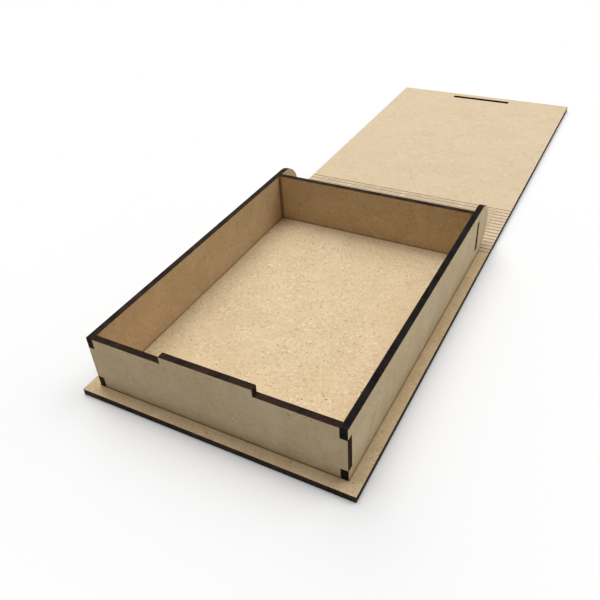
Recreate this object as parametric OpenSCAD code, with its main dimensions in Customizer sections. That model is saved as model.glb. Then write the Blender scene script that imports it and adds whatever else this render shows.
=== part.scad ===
// Book-style storage box cut from thin board: a tray of four finger-jointed walls glued
// on a one-piece cover, whose lid folds over the tray on a spine cut as a living hinge.
// The origin is at the centre of the base plate's underside and +Y runs from the front
// wall to the spine. The cover lies flat and open, with the lid behind the tray.

/* [Board] */
// Thickness of the board
board = 3; // [2.5:0.1:4]

/* [Tray] */
// Width of the space inside
inner_w = 108; // [90:1:160]
// Length of the space inside, front to back
inner_l = 148; // [110:1:220]
// Height of the walls above the base
wall_h = 26; // [22:1:40]
// Height of the fingers at the ends of a corner
finger_h = 5; // [4:0.5:7]
// Clearance on each side of a finger in its notch
finger_fit = 0.05; // [0:0.05:0.2]
// Distance from the back wall to the centre of the rounded wall ends
ear_reach = 4; // [2:0.5:8]

/* [Cover] */
// Margin of the cover round the walls
lip = 5.2; // [3:0.1:10]
// Gap left over the walls when the lid is closed
lid_gap = 0.3; // [0.2:0.05:0.6]
// Gap left behind the rounded wall ends when the lid is closed
spine_gap = 2.3; // [1:0.1:4]

/* [Latch] */
// Length of the tab on top of the front wall
tab_l = 41; // [20:1:60]
// Clearance all round the tab in the slot of the lid
slot_fit = 0.35; // [0.35:0.05:0.6]

/* [Living hinge] */
// Rows of slits that open as the spine bends
hinge_rows = 15; // [12:1:18]
// Gap left at the inner face of a slit when the spine is fully bent
slit_clear = 0.15; // [0.1:0.05:0.3]
// Length of the slits that are open at the side edges of the cover
edge_slit = 8.5; // [6:0.5:12]
// Width of the bridges between the slits of a row
bridge_w = 3; // [2:0.5:5]
// Long slits between the two edge slits of a bending row
long_slits = 3; // [2:1:5]
// Uncut margin at both ends of the rows between the bending rows
row_margin = 7; // [4:0.5:9]

/* [Hidden] */
mdf = "#D8C09A";
// Overlap that lets one solid run into another, or a cut run past a face
sink = 0.2;

// Each bending row turns the spine by its share of half a turn, and the two end rows turn
// half as far as the others. The pitch makes the closed lid lie over the walls, and the
// slit leaves room for the inner edges to close.
function hundredth(size) = round(100 * size) / 100;
row_angle = 180 / (hinge_rows - 1);
row_pitch = hundredth((wall_h + board + lid_gap) * sin(row_angle / 2));
slit_w = hundredth(board * tan(row_angle / 2) + slit_clear);

// Places across the box
tray_w = inner_w + 2 * board;
cover_w = tray_w + 2 * lip;

// Places from front to back
tray_l = inner_l + 2 * board;
base_l = lip + tray_l + ear_reach + spine_gap;
tray_front = lip - base_l / 2;
back_inside = tray_front + board + inner_l;
ear_y = tray_front + tray_l + ear_reach;
first_row = base_l / 2;
last_row = first_row + (hinge_rows - 1) * row_pitch;
far_edge = last_row + base_l;

// The tab ends flush with the outer face of the closed lid, and stands in its slot
tab_h = board + lid_gap;
slot_l = tab_l + 2 * slot_fit;
slot_w = board + 2 * slot_fit;
rail_y = far_edge - lip - board / 2 - slot_w / 2;
notch_h = wall_h - 2 * finger_h;

// Bridges of a bending row, and of the row beside it, which is staggered by half a step
long_slit = (cover_w - 2 * edge_slit - (long_slits + 1) * bridge_w) / long_slits;
bridge_step = long_slit + bridge_w;
first_bridge = edge_slit - cover_w / 2;
row_bridges = [for (i = [0 : long_slits]) first_bridge + i * bridge_step];
mid_bridges = [for (i = [0 : long_slits - 1]) first_bridge + (i + 0.5) * bridge_step];
slit_starts = concat([row_margin - cover_w / 2], [for (x = mid_bridges) x + bridge_w]);
slit_ends = concat(mid_bridges, [cover_w / 2 - row_margin]);

function slat_name(i) = str("hinge_slat_", i < 10 ? "0" : "", i);
slat_names = [for (i = [1 : hinge_rows - 1]) slat_name(i)];
walls = ["front_wall", "back_wall", "left_wall", "right_wall"];

// Flat stretch of the cover between two places along Y
module cover_board(from_y, to_y) {
    translate([-cover_w / 2, from_y, 0])
        cube([cover_w, to_y - from_y, board]);
}

// Cuts of a staggered row, closed at both ends
module slit_row(row_y) {
    for (i = [0 : long_slits])
        translate([slit_starts[i], row_y - slit_w / 2, -sink])
            cube([slit_ends[i] - slit_starts[i], slit_w, board + 2 * sink]);
}

// Halves of the bridges on one side of a bending row: side is 1 behind the row line and
// -1 in front of it. The halves meet below the middle of the board, where the row bends,
// and above it they lean back so that the closed spine has room.
module half_bridges(row_y, side) {
    root = slit_w / 2;
    profile = [[0, 0], [root + sink, 0], [root + sink, board], [root, board], [0, board / 2]];
    for (x = row_bridges)
        translate([x, row_y, 0])
            rotate([90, 0, 90])
                linear_extrude(bridge_w)
                    polygon([for (p = profile) [side * p[0], p[1]]]);
}

module base_plate() {
    color(mdf) {
        cover_board(-base_l / 2, first_row - slit_w / 2);
        half_bridges(first_row, -1);
    }
}

module hinge_slat(i) {
    near_row = first_row + (i - 1) * row_pitch;
    far_row = near_row + row_pitch;
    color(mdf) {
        difference() {
            cover_board(near_row + slit_w / 2, far_row - slit_w / 2);
            slit_row(near_row + row_pitch / 2);
        }
        half_bridges(near_row, 1);
        half_bridges(far_row, -1);
    }
}

// Lid from the spine to the latch slot
module lid_panel() {
    color(mdf) {
        cover_board(last_row + slit_w / 2, rail_y);
        half_bridges(last_row, 1);
    }
}

// Free end of the lid, which runs round the latch slot
module lid_rail() {
    color(mdf)
        difference() {
            cover_board(rail_y, far_edge);
            translate([-slot_l / 2, rail_y - sink, -sink])
                cube([slot_l, slot_w + sink, board + 2 * sink]);
        }
}

// Outline of a wall across the box: its fingers reach through the side walls
module cross_outline() {
    finger = notch_h - 2 * finger_fit;
    translate([-inner_w / 2, 0])
        square([inner_w, wall_h]);
    translate([-tray_w / 2, finger_h + finger_fit])
        square([tray_w, finger]);
}

// Stands an outline drawn in X and Z on the base, with its front face at a place along Y
module across(front_y) {
    translate([0, front_y + board, board])
        rotate([90, 0, 0])
            linear_extrude(board)
                children();
}

module front_wall() {
    color(mdf)
        across(tray_front) {
            cross_outline();
            translate([-tab_l / 2, wall_h - sink])
                square([tab_l, tab_h + sink]);
        }
}

module back_wall() {
    color(mdf)
        across(back_inside)
            cross_outline();
}

// Side wall with a rounded rear end, a notch for the front wall and a slot for the back wall
module side_wall(left_x) {
    color(mdf)
        translate([left_x, 0, board])
            rotate([90, 0, 90])
                linear_extrude(board)
                    difference() {
                        union() {
                            translate([tray_front, 0])
                                square([ear_y - tray_front, wall_h]);
                            translate([ear_y, wall_h / 2])
                                circle(d = wall_h, $fn = 96);
                        }
                        translate([tray_front - sink, finger_h])
                            square([board + sink, notch_h]);
                        translate([back_inside - finger_fit, finger_h])
                            square([board + 2 * finger_fit, notch_h]);
                    }
}

module left_wall() {
    side_wall(-tray_w / 2);
}

module right_wall() {
    side_wall(inner_w / 2);
}

base_plate();
front_wall();
back_wall();
left_wall();
right_wall();
for (i = [1 : hinge_rows - 1])
    hinge_slat(i);
lid_panel();
lid_rail();
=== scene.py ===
import bpy
import bmesh
from math import radians
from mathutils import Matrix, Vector


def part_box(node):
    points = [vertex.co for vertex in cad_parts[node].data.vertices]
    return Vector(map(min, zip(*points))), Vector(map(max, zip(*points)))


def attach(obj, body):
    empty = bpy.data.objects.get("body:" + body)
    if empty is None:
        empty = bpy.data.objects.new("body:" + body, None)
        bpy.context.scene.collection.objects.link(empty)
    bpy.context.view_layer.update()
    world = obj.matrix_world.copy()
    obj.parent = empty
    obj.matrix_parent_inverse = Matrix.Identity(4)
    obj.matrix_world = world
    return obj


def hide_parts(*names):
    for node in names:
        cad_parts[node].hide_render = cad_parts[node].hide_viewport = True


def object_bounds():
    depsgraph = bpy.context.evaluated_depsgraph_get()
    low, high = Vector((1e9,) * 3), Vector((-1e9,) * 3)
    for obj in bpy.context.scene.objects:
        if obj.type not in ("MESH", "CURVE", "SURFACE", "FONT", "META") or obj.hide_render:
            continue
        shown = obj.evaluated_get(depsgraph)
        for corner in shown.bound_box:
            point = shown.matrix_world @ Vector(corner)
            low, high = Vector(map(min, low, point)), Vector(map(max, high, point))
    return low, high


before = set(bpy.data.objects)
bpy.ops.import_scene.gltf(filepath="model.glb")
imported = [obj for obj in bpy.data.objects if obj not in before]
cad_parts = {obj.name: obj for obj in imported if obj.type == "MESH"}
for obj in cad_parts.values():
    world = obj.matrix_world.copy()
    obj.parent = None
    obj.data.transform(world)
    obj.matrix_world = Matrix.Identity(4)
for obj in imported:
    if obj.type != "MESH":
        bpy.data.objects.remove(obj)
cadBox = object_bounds()
print("frame loaded:", len(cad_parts), "boards")

mm = 0.001
weld = 1e-6  # metres; points this near are one point
cutReach = 1e-7  # metres; points this near to a cut lie on it
flatAngle = radians(0.5)  # triangles as flat as this make one face

# where the boards meet
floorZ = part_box("base_plate")[1].z
innerX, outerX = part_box("right_wall")[0].x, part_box("right_wall")[1].x
frontOuterY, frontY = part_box("front_wall")[0].y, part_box("front_wall")[1].y
backY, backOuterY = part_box("back_wall")[0].y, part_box("back_wall")[1].y


# one shader node, its settings and what goes into its sockets; gives one output, or all with out=None
def addNode(tree, kind, inputs, out=0, **settings):
    node = tree.nodes.new("ShaderNode" + kind)
    for name, value in settings.items():
        setattr(node, name, value)
    for socket, value in inputs.items():
        if isinstance(value, bpy.types.NodeSocket):
            tree.links.new(value, node.inputs[socket])
        else:
            node.inputs[socket].default_value = value
    return node.outputs if out is None else node.outputs[out]


# sRGB hex to the linear colour that the shader wants
def linear(hexCode):
    channels = [int(hexCode[i:i + 2], 16) / 255 for i in (1, 3, 5)]
    return [c / 12.92 if c <= 0.04045 else ((c + 0.055) / 1.055) ** 2.4 for c in channels] + [1]


# a new material with its nodes, its shader and the object's own coordinates
def startMaterial(name):
    mat = bpy.data.materials.new(name)
    mat.use_nodes = True
    tree = mat.node_tree
    return mat, tree, tree.nodes["Principled BSDF"], addNode(tree, "TexCoord", {}, out="Object")


# colour, relief and gloss go into the shader
def finishShader(tree, shader, colour, bump, gloss):
    tree.links.new(colour, shader.inputs["Base Color"])
    tree.links.new(bump, shader.inputs["Normal"])
    for socket, value in gloss.items():
        shader.inputs[socket].default_value = value


# how far a spot lies outside of a box along each axis, less than 0 inside
def boxGap(tree, place, low, high):
    centre = [(a + b) / 2 for a, b in zip(low, high)]
    half = [(b - a) / 2 for a, b in zip(low, high)]
    gap = addNode(tree, "VectorMath", {0: place, 1: centre}, operation="SUBTRACT")
    gap = addNode(tree, "VectorMath", {0: gap}, operation="ABSOLUTE")
    return addNode(tree, "VectorMath", {0: gap, 1: half}, operation="SUBTRACT")


# speck, fuzz and fuzzDepth in mm, patch in flecks; pale and dark: where the noise starts a fleck and fills it
fibre = {"blotchTwist": 1.2, "soft": (0.35, 0.65), "patch": 6, "patchLeast": 0.55, "fleckRough": 0.65,
         "pale": (0.52, 0.7), "dark": (0.46, 0.3), "speck": 1.1, "speckFade": 0.06, "speckShare": 0.8,
         # the share at a seam is soot of the cut edge together with painted shade
         "sootShadeShare": 0.65, "fuzz": 0.5, "fuzzDepth": 0.05, "fuzzStrength": 0.2,
         "gloss": {"Roughness": 0.85, "IOR": 1.45, "Specular IOR Level": 0.25}}


# raw MDF as it leaves the sanding line: matt and pale tan, pressed from wood fibre, so it shows
# soft blotches, fine pale and dark flecks of fibre and now and then a speck of bark;
# along a glued seam it turns brown, partly from the soot of the cut edge and partly as painted shade where
# the boards meet
def sandedMdf(name, look, seams=()):
    mat, tree, shader, place = startMaterial(name)
    softLow, softHigh = fibre["soft"]

    # a colour mix has its share in socket 0, its two colours in 6 and 7, and gives the result in output 2
    blotch = addNode(tree, "TexNoise", {"Vector": place, "Scale": 1 / (look["blotch"] * mm), "Detail": 3,
                                        "Distortion": fibre["blotchTwist"]})
    blotch = addNode(tree, "MapRange", {"Value": blotch, "From Min": softLow, "From Max": softHigh})
    colour = addNode(tree, "Mix", {0: blotch, 6: linear(look["shade"]), 7: linear(look["light"])},
                     out=2, data_type="RGBA")

    # fibre is a few hundredths of a millimetre thick, so it is drawn coarser,
    # as bundles, and they gather in patches
    patch = addNode(tree, "TexNoise", {"Vector": place, "Scale": 1 / (fibre["patch"] * look["fleck"] * mm),
                                       "Detail": 1})
    patch = addNode(tree, "MapRange", {"Value": patch, "From Min": softLow, "From Max": softHigh,
                                       "To Min": fibre["patchLeast"]})
    fleck = addNode(tree, "TexNoise", {"Vector": place, "Scale": 1 / (look["fleck"] * mm), "Detail": 3,
                                       "Roughness": fibre["fleckRough"], "Distortion": look["twist"]},
                    out="Color")
    fleck = addNode(tree, "SeparateColor", {"Color": fleck}, out=None)
    for tone, kind in ((fleck[0], "pale"), (fleck[1], "dark")):
        start, full = fibre[kind]
        share = addNode(tree, "MapRange", {"Value": tone, "From Min": start, "From Max": full,
                                           "To Max": look[kind + "Share"]})
        share = addNode(tree, "Math", {0: share, 1: patch}, operation="MULTIPLY")
        colour = addNode(tree, "Mix", {0: share, 6: colour, 7: linear(look[kind])}, out=2, data_type="RGBA")

    speck = addNode(tree, "TexNoise", {"Vector": place, "Scale": 1 / (fibre["speck"] * mm), "Detail": 1})
    speck = addNode(tree, "MapRange", {"Value": speck, "From Min": look["specks"],
                                       "From Max": look["specks"] + fibre["speckFade"],
                                       "To Max": fibre["speckShare"]})
    colour = addNode(tree, "Mix", {0: speck, 6: colour, 7: linear(look["bark"])}, out=2, data_type="RGBA")

    # the soot and painted shade run along the sides of a seam's box, and its nearest side counts
    away = 2.0  # in widths of the soot and painted shade, so clean
    for seam in seams:
        gap = boxGap(tree, place, seam["low"], seam["high"])
        gap = addNode(tree, "SeparateXYZ", {"Vector": gap}, out=None)
        nearest = addNode(tree, "Math", {0: gap[0], 1: gap[1]}, operation="MAXIMUM")
        nearest = addNode(tree, "Math", {0: nearest, 1: gap[2]}, operation="MAXIMUM")
        nearest = addNode(tree, "Math", {0: nearest}, operation="ABSOLUTE")
        nearest = addNode(tree, "Math", {0: nearest, 1: seam["width"] * mm}, operation="DIVIDE")
        away = addNode(tree, "Math", {0: nearest, 1: away}, operation="MINIMUM")
    if seams:
        # soot of the cut edge, darkened further as painted shade in the seams and corners
        sootShade = addNode(tree, "MapRange", {"Value": away, "From Min": 0, "From Max": 1,
                                           "To Min": fibre["sootShadeShare"], "To Max": 0},
                        interpolation_type="SMOOTHSTEP")
        colour = addNode(tree, "Mix", {0: sootShade, 6: colour, 7: linear(look["sootAndShade"])}, out=2, data_type="RGBA")

    fuzz = addNode(tree, "TexNoise", {"Vector": place, "Scale": 1 / (fibre["fuzz"] * mm), "Detail": 3})
    bump = addNode(tree, "Bump", {"Height": fuzz, "Strength": fibre["fuzzStrength"],
                                  "Distance": fibre["fuzzDepth"] * mm})
    finishShader(tree, shader, colour, bump, fibre["gloss"])
    return mat


# streak, patch, rimDepth and depth in mm; squeeze draws the streaks ten times as long as they are wide
burn = {"streak": 0.35, "squeeze": 0.1, "patch": 6, "patchShare": 0.5, "soft": (0.38, 0.62),
        "rimDepth": 0.7, "depth": 0.08, "strength": 0.4,
        "gloss": {"Roughness": 0.8, "IOR": 1.45, "Specular IOR Level": 0.02}}


# edge of MDF cut by laser: charred, with streaks left by the beam across the thickness; soot is matt
def charredEdge(name, look, across):
    mat, tree, shader, place = startMaterial(name)
    softLow, softHigh = burn["soft"]
    squeeze = [burn["squeeze"] if a else 1 for a in across]
    drawn = addNode(tree, "Mapping", {"Vector": place, "Scale": squeeze})
    streak = addNode(tree, "TexNoise", {"Vector": drawn, "Scale": 1 / (burn["streak"] * mm), "Detail": 3})
    patch = addNode(tree, "TexNoise", {"Vector": place, "Scale": 1 / (burn["patch"] * mm), "Detail": 2})
    both = addNode(tree, "Mix", {0: burn["patchShare"], 2: streak, 3: patch})
    share = addNode(tree, "MapRange", {"Value": both, "From Min": softLow, "From Max": softHigh})
    colour = addNode(tree, "Mix", {0: share, 6: linear(look["char"]), 7: linear(look["brown"])},
                     out=2, data_type="RGBA")
    if "rim" in look:  # the top of a slit takes the rim colour, and it chars deeper down; a near-white rim is painted light
        rimDepth = burn["rimDepth"] * mm
        height = addNode(tree, "SeparateXYZ", {"Vector": place}, out="Z")
        share = addNode(tree, "MapRange", {"Value": height, "From Min": floorZ - 2 * rimDepth,
                                           "From Max": floorZ - rimDepth})
        colour = addNode(tree, "Mix", {0: share, 6: colour, 7: linear(look["rim"])}, out=2, data_type="RGBA")
    bump = addNode(tree, "Bump", {"Height": streak, "Strength": burn["strength"],
                                  "Distance": burn["depth"] * mm})
    finishShader(tree, shader, colour, bump, burn["gloss"])
    return mat


# seams: boxes whose sides stand on the lines where boards meet, in metres, and the width in mm of the soot
# and painted shade along them
far = 1.0  # past the end of every board
foot = {"low": (-far, -far, floorZ), "high": (far, far, far), "width": 0.7}
# in the inside corners the wide band is mostly painted shade, with some soot
crossCorner = {"low": (-innerX, -far, -far), "high": (innerX, far, far), "width": 2.2}
sideCorner = {"low": (-far, frontY, -far), "high": (far, backY, far), "width": 2.2}
floorInside = {"low": (-innerX, frontY, -far), "high": (innerX, backY, far), "width": 0.8}
floorOutside = {"low": (-outerX, frontOuterY, -far), "high": (outerX, far, far), "width": 0.6}

# blotch and fleck in mm; a speck of bark shows where its noise passes specks
# the seam colour in each look is soot of the cut edge together with painted shade
baseLook = {"light": "#E4CDA7", "shade": "#DCC49C", "blotch": 22, "fleck": 1.4, "twist": 1.2,
            "pale": "#FBF3E0", "paleShare": 0.75, "dark": "#94744A", "darkShare": 0.62,
            "bark": "#64482A", "specks": 0.71, "sootAndShade": "#A5702A"}
# the lip is the floor's own sheet, painted a little darker and browner as painted shade of the walls
lipShadedLook = {"light": "#E2CAA3", "shade": "#D8BE95", "blotch": 14, "fleck": 1.2, "twist": 0.8,
           "pale": "#F2E4C8", "paleShare": 0.65, "dark": "#A08258", "darkShare": 0.65,
           "bark": "#6E4F2E", "specks": 0.73, "sootAndShade": "#70490F"}
outerLook = {"light": "#CAB795", "shade": "#C2AE8A", "blotch": 14, "fleck": 2.0, "twist": 0.8,
             "pale": "#E2CFAF", "paleShare": 0.4, "dark": "#A88A62", "darkShare": 0.4,
             "bark": "#6E4F2E", "specks": 0.73, "sootAndShade": "#70490F"}
# inside the tray the walls take a slightly darker, browner copy of the outer board: painted shade
innerShadedLook = {"light": "#CCB28D", "shade": "#C3A882", "blotch": 14, "fleck": 1.3, "twist": 0.8,
             "pale": "#E2CDAA", "paleShare": 0.6, "dark": "#987850", "darkShare": 0.6,
             "bark": "#5E4324", "specks": 0.72, "sootAndShade": "#5C3A0E"}
lidLook = {"light": "#DCC7A7", "shade": "#D7C2A1", "blotch": 18, "fleck": 2.6, "twist": 1.0,
           "pale": "#F0E3CA", "paleShare": 0.5, "dark": "#B89A70", "darkShare": 0.42,
           "bark": "#7A5B38", "specks": 0.74}
baseMdf = sandedMdf("sandedMdfBase", baseLook, [floorInside])
lipShadedMdf = sandedMdf("sandedMdfLipShaded", lipShadedLook, [floorOutside])
outerMdf = sandedMdf("sandedMdfOuter", outerLook, [foot])
crossShadedMdf = sandedMdf("sandedMdfCrossShaded", innerShadedLook, [foot, crossCorner])
sideShadedMdf = sandedMdf("sandedMdfSideShaded", innerShadedLook, [foot, sideCorner])
lidMdf = sandedMdf("sandedMdfLid", lidLook)

leftChar = {"char": "#251E19", "brown": "#3E342E"}
# the right wall's char is the same as the left's, painted darker and greyer: painted shade
rightShadedChar = {"char": "#161313", "brown": "#292626"}
crossChar = {"char": "#261C18", "brown": "#3F3028"}
coverChar = {"char": "#302825", "brown": "#4E3F39"}
slitLook = {"char": "#4A3625", "brown": "#6B5138", "rim": "#BC9066"}
# the rim of the staggered slits is near white, paler than the board: painted light that lifts the slit's
# shade
midSlitLitLook = {"char": "#4A3625", "brown": "#6B5138", "rim": "#FFF8E8"}
arrisLook = {"char": "#46331F", "brown": "#5C4328"}
leftEdge = charredEdge("charredEdgeLeft", leftChar, (1, 0, 0))
rightShadedEdge = charredEdge("charredEdgeRightShaded", rightShadedChar, (1, 0, 0))
crossEdge = charredEdge("charredEdgeCross", crossChar, (0, 1, 0))
coverEdge = charredEdge("charredEdgeCover", coverChar, (0, 0, 1))
slitChar = charredEdge("scorchedSlit", slitLook, (0, 0, 1))
midSlitLitChar = charredEdge("scorchedMidSlitLit", midSlitLitLook, (0, 0, 1))
arrisChar = charredEdge("scorchedArris", arrisLook, (0, 0, 1))
print("materials made")


# a merged copy of CAD boards
def mergedCopy(nodes):
    bm = bmesh.new()
    for node in nodes:
        bm.from_mesh(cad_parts[node].data)
    bmesh.ops.remove_doubles(bm, verts=bm.verts, dist=weld)
    return bm


# whole faces in place of triangles
def wholeFaces(bm):
    bmesh.ops.dissolve_limit(bm, angle_limit=flatAngle, verts=bm.verts, edges=bm.edges)


# parts the faces that cross a plane
def partFaces(bm, spot, across):
    bmesh.ops.bisect_plane(bm, geom=bm.verts[:] + bm.edges[:] + bm.faces[:], dist=cutReach,
                           plane_co=spot, plane_no=across)


# puts a finished mesh into the scene in place of its CAD boards
def placeBoard(name, bm, finish, body, nodes):
    mesh = bpy.data.meshes.new(name)
    bm.to_mesh(mesh)
    bm.free()
    for mat in finish:
        mesh.materials.append(mat)
    board = bpy.data.objects.new(name, mesh)
    bpy.context.scene.collection.objects.link(board)
    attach(board, body)
    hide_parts(*nodes)


# walls: the inner face, the outer face and the burnt edges, whose arrises, in mm, the beam has rounded
walls = {"frontWall": {"node": "front_wall", "inward": (0, 1, 0), "arris": 0.15,
                       "inside": crossShadedMdf, "edge": crossEdge},
         "backWall": {"node": "back_wall", "inward": (0, -1, 0), "arris": 0.15,
                      "inside": crossShadedMdf, "edge": crossEdge},
         "leftWall": {"node": "left_wall", "inward": (1, 0, 0), "arris": 0.15,
                      "inside": sideShadedMdf, "edge": leftEdge},
         "rightWall": {"node": "right_wall", "inward": (-1, 0, 0), "arris": 0.15,
                       "inside": sideShadedMdf, "edge": rightShadedEdge}}
sharpAngle = radians(40)  # only sharper edges are rounded, so the facets of the round wall ends stay
edgeLean = 0.1  # a normal that leans less to the wall's sides belongs to an edge
sideLean = 0.98  # one that leans more belongs to a side, and between them is an arris
for name, wall in walls.items():
    bm = mergedCopy([wall["node"]])
    wholeFaces(bm)
    if wall["inside"] == sideShadedMdf:  # behind the back wall the rounded end is outside of the tray
        partFaces(bm, (0, (backY + backOuterY) / 2, 0), (0, 1, 0))
    sharp = [e for e in bm.edges if e.calc_face_angle(0) > sharpAngle]
    bmesh.ops.bevel(bm, geom=sharp, offset=wall["arris"] * mm, offset_type="OFFSET", affect="EDGES",
                    segments=2, profile=0.5, material=-1)
    bm.normal_update()
    inward = Vector(wall["inward"])
    finish = [wall["inside"], outerMdf, wall["edge"], arrisChar]
    for face in bm.faces:
        lean = face.normal.dot(inward)
        inTray = face.calc_center_median().y < backOuterY
        if abs(lean) < edgeLean:
            look = wall["edge"]
        elif abs(lean) < sideLean:
            look = arrisChar
        # inside the tray the face takes the darker copy, as painted shade
        elif lean > 0 and inTray:
            look = wall["inside"]
        else:
            look = outerMdf
        face.material_index = finish.index(look)
    placeBoard(name, bm, finish, "tray", [wall["node"]])
print("walls dressed")

# cover: base, slats of the living hinge and lid; in mm, how far the spine's slits reach past its slats and
# stay inside of its sides, and how near to a slat's middle the slits of the staggered rows are
cover = {"spineMargin": 1.0, "sideMargin": 0.1, "midSlit": 0.5}
slats = sorted(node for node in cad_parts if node.startswith("hinge_slat_"))
midRows = [(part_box(slat)[0].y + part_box(slat)[1].y) / 2 for slat in slats]
firstSlat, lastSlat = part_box(slats[0]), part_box(slats[-1])
spineFrom = firstSlat[0].y - cover["spineMargin"] * mm
spineTo = lastSlat[1].y + cover["spineMargin"] * mm
sideEdge = firstSlat[1].x - cover["sideMargin"] * mm
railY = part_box("lid_rail")[0].y
slotEnd = min(abs(v.co.x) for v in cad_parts["lid_rail"].data.vertices)
uprightLean = 0.05  # a normal that leans less up or down is an upright face
crossLean = 0.9  # a normal that leans more along Y is a face across the cover


# wide faces and the leaning faces of the bridges keep the raw board, the slits are browned,
# the outline is charred; the slits of the staggered rows are wider than a real cut,
# so their rims are painted near white as painted light, which lifts their shade so they look as narrow
def dressCover(name, bm, raw, body, nodes, underWalls=()):
    wholeFaces(bm)
    for spot, across in underWalls:
        partFaces(bm, spot, across)
    bm.normal_update()
    finish = [raw, coverEdge, slitChar, midSlitLitChar, lipShadedMdf, lidMdf]
    for face in bm.faces:
        spot = face.calc_center_median()
        upright = abs(face.normal.z) <= uprightLean
        inSpine = spineFrom < spot.y < spineTo and abs(spot.x) < sideEdge
        midSlit = min(abs(spot.y - y) for y in midRows) < cover["midSlit"] * mm
        onLip = abs(spot.x) > outerX or spot.y < frontOuterY or face.normal.z < 0
        if upright and not inSpine:
            look = coverEdge
        elif upright:
            look = midSlitLitChar if midSlit else slitChar
        # the lip round the walls takes the darker copy of the board, as painted shade
        elif underWalls and onLip:
            look = lipShadedMdf
        elif underWalls and spot.y > backY:
            look = lidMdf
        else:
            look = raw
        face.material_index = finish.index(look)
    placeBoard(name, bm, finish, body, nodes)


# the floor of the tray and the lip round it are parted under the walls
sideX, frontMidY, backMidY = (innerX + outerX) / 2, (frontOuterY + frontY) / 2, (backY + backOuterY) / 2
underWalls = [((x, 0, 0), (1, 0, 0)) for x in (-sideX, sideX)]
underWalls += [((0, y, 0), (0, 1, 0)) for y in (frontMidY, backMidY)]
dressCover("basePlate", mergedCopy(["base_plate"]), baseMdf, "tray", ["base_plate"], underWalls)
for i, slat in enumerate(slats, 1):
    dressCover("hingeSlat%02d" % i, mergedCopy([slat]), lidMdf, "slat_%02d" % i, [slat])

# the two CAD pieces of the lid are one board: parted at the slot's ends, their inner faces pair up and go
bm = mergedCopy(["lid_panel", "lid_rail"])
for x in (-slotEnd, slotEnd):
    partFaces(bm, (x, 0, 0), (1, 0, 0))
bmesh.ops.remove_doubles(bm, verts=bm.verts, dist=weld)
inner = []
for face in bm.faces:
    spot = face.calc_center_median()
    if abs(face.normal.y) > crossLean and abs(spot.y - railY) < weld and abs(spot.x) > slotEnd:
        inner.append(face)
bmesh.ops.delete(bm, geom=inner, context="FACES")
dressCover("lidBoard", bm, lidMdf, "lid", ["lid_panel", "lid_rail"])
print("cover dressed, inner faces taken out:", len(inner))


# 1 for what the camera sees, straight or by way of gloss and glass, and 0 for light on its way
def seenRay(tree):
    ray = addNode(tree, "LightPath", {}, out=None)
    seen = addNode(tree, "Math", {0: ray["Is Camera Ray"], 1: ray["Is Glossy Ray"]}, operation="ADD")
    return addNode(tree, "Math", {0: seen, 1: ray["Is Transmission Ray"]}, operation="ADD", use_clamp=True)


# pale studio floor: matt white paper that keeps the shadow and runs out into plain white away from the box;
# its size and the way to plain white in metres
studio = {"size": 12.0, "bounce": "#FBFBFB", "white": 0.11, "fade": 0.4, "sky": 0.15}
plainWhite = (1, 1, 1, 1)
floorMesh = bpy.data.meshes.new("floor")
bm = bmesh.new()
bmesh.ops.create_grid(bm, x_segments=1, y_segments=1, size=studio["size"] / 2)
bm.to_mesh(floorMesh)
bm.free()
floorPaint, tree, paper, place = startMaterial("mattWhitePaper")
away = addNode(tree, "VectorMath", {0: boxGap(tree, place, *cadBox), 1: (0, 0, 0)}, operation="MAXIMUM")
away = addNode(tree, "VectorMath", {0: away}, out="Value", operation="LENGTH")
away = addNode(tree, "Math", {0: away, 1: studio["white"]}, operation="DIVIDE", use_clamp=True)
glow = addNode(tree, "Math", {0: away, 1: studio["fade"]}, operation="POWER")
share = addNode(tree, "Math", {0: seenRay(tree), 1: glow}, operation="MULTIPLY")
paper.inputs["Base Color"].default_value = linear(studio["bounce"])
paper.inputs["Roughness"].default_value = 1
paper.inputs["Specular IOR Level"].default_value = 0
white = addNode(tree, "Emission", {"Color": plainWhite, "Strength": 1})
both = addNode(tree, "MixShader", {0: share, 1: paper.outputs[0], 2: white})
tree.links.new(both, tree.nodes["Material Output"].inputs["Surface"])
floorMesh.materials.append(floorPaint)
floor = bpy.data.objects.new("floor", floorMesh)
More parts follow.
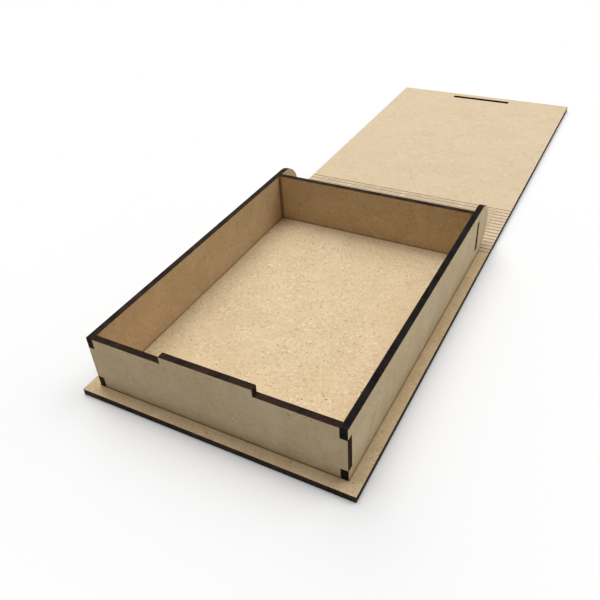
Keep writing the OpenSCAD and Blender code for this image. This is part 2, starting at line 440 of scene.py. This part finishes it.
bpy.context.scene.collection.objects.link(floor)

# the sky looks white, and lights the box less than it looks
world = bpy.data.worlds.new("studio")
bpy.context.scene.world = world
world.use_nodes = True
tree = world.node_tree
power = addNode(tree, "MapRange", {"Value": seenRay(tree), "To Min": studio["sky"], "To Max": 1})
sky = tree.nodes["Background"]
sky.inputs["Color"].default_value = plainWhite
tree.links.new(power, sky.inputs["Strength"])

# places and sizes in metres
lamps = {"softboxOverLeft": {"at": (-0.74, 0.1, 2.28), "size": 1.4, "watts": 19.2},
         "softboxOverBack": {"at": (-0.52, 0.62, 2.28), "size": 1.4, "watts": 14.2},
         "softboxBackRight": {"at": (0.97, 1.07, 1.97), "size": 1.4, "watts": 16.6},
         "softboxBackLeft": {"at": (-1.39, 1.49, 1.38), "size": 1.4, "watts": 13.6},
         "fillRight": {"at": (0.8, 0.6, 0.45), "size": 0.6, "watts": 0.95}}
aim = Vector((0, 0.1, 0))  # the middle of the open cover
for name, lamp in lamps.items():
    light = bpy.data.lights.new(name, "AREA")
    light.shape = "SQUARE"
    light.size = lamp["size"]
    light.energy = lamp["watts"]
    box = bpy.data.objects.new(name, light)
    box.location = lamp["at"]
    box.rotation_euler = (aim - Vector(lamp["at"])).to_track_quat("-Z", "Y").to_euler()
    bpy.context.scene.collection.objects.link(box)

# place and clipping in metres, turn in degrees, lens and sensor in mm
shot = {"at": (0.12027, -0.21002, 0.19451), "turn": (52.8114, 3.205, 28.0127),
        "lens": 39.799, "sensor": 36, "nearest": 0.01, "farthest": 100}
cameraData = bpy.data.cameras.new("photoCamera")
cameraData.lens = shot["lens"]
cameraData.sensor_width = shot["sensor"]
cameraData.clip_start = shot["nearest"]
cameraData.clip_end = shot["farthest"]
camera = bpy.data.objects.new("photoCamera", cameraData)
camera.location = shot["at"]
camera.rotation_euler = [radians(a) for a in shot["turn"]]
bpy.context.scene.collection.objects.link(camera)
bpy.context.scene.camera = camera
bpy.context.scene.view_settings.view_transform = "Standard"
print("studio and camera set")
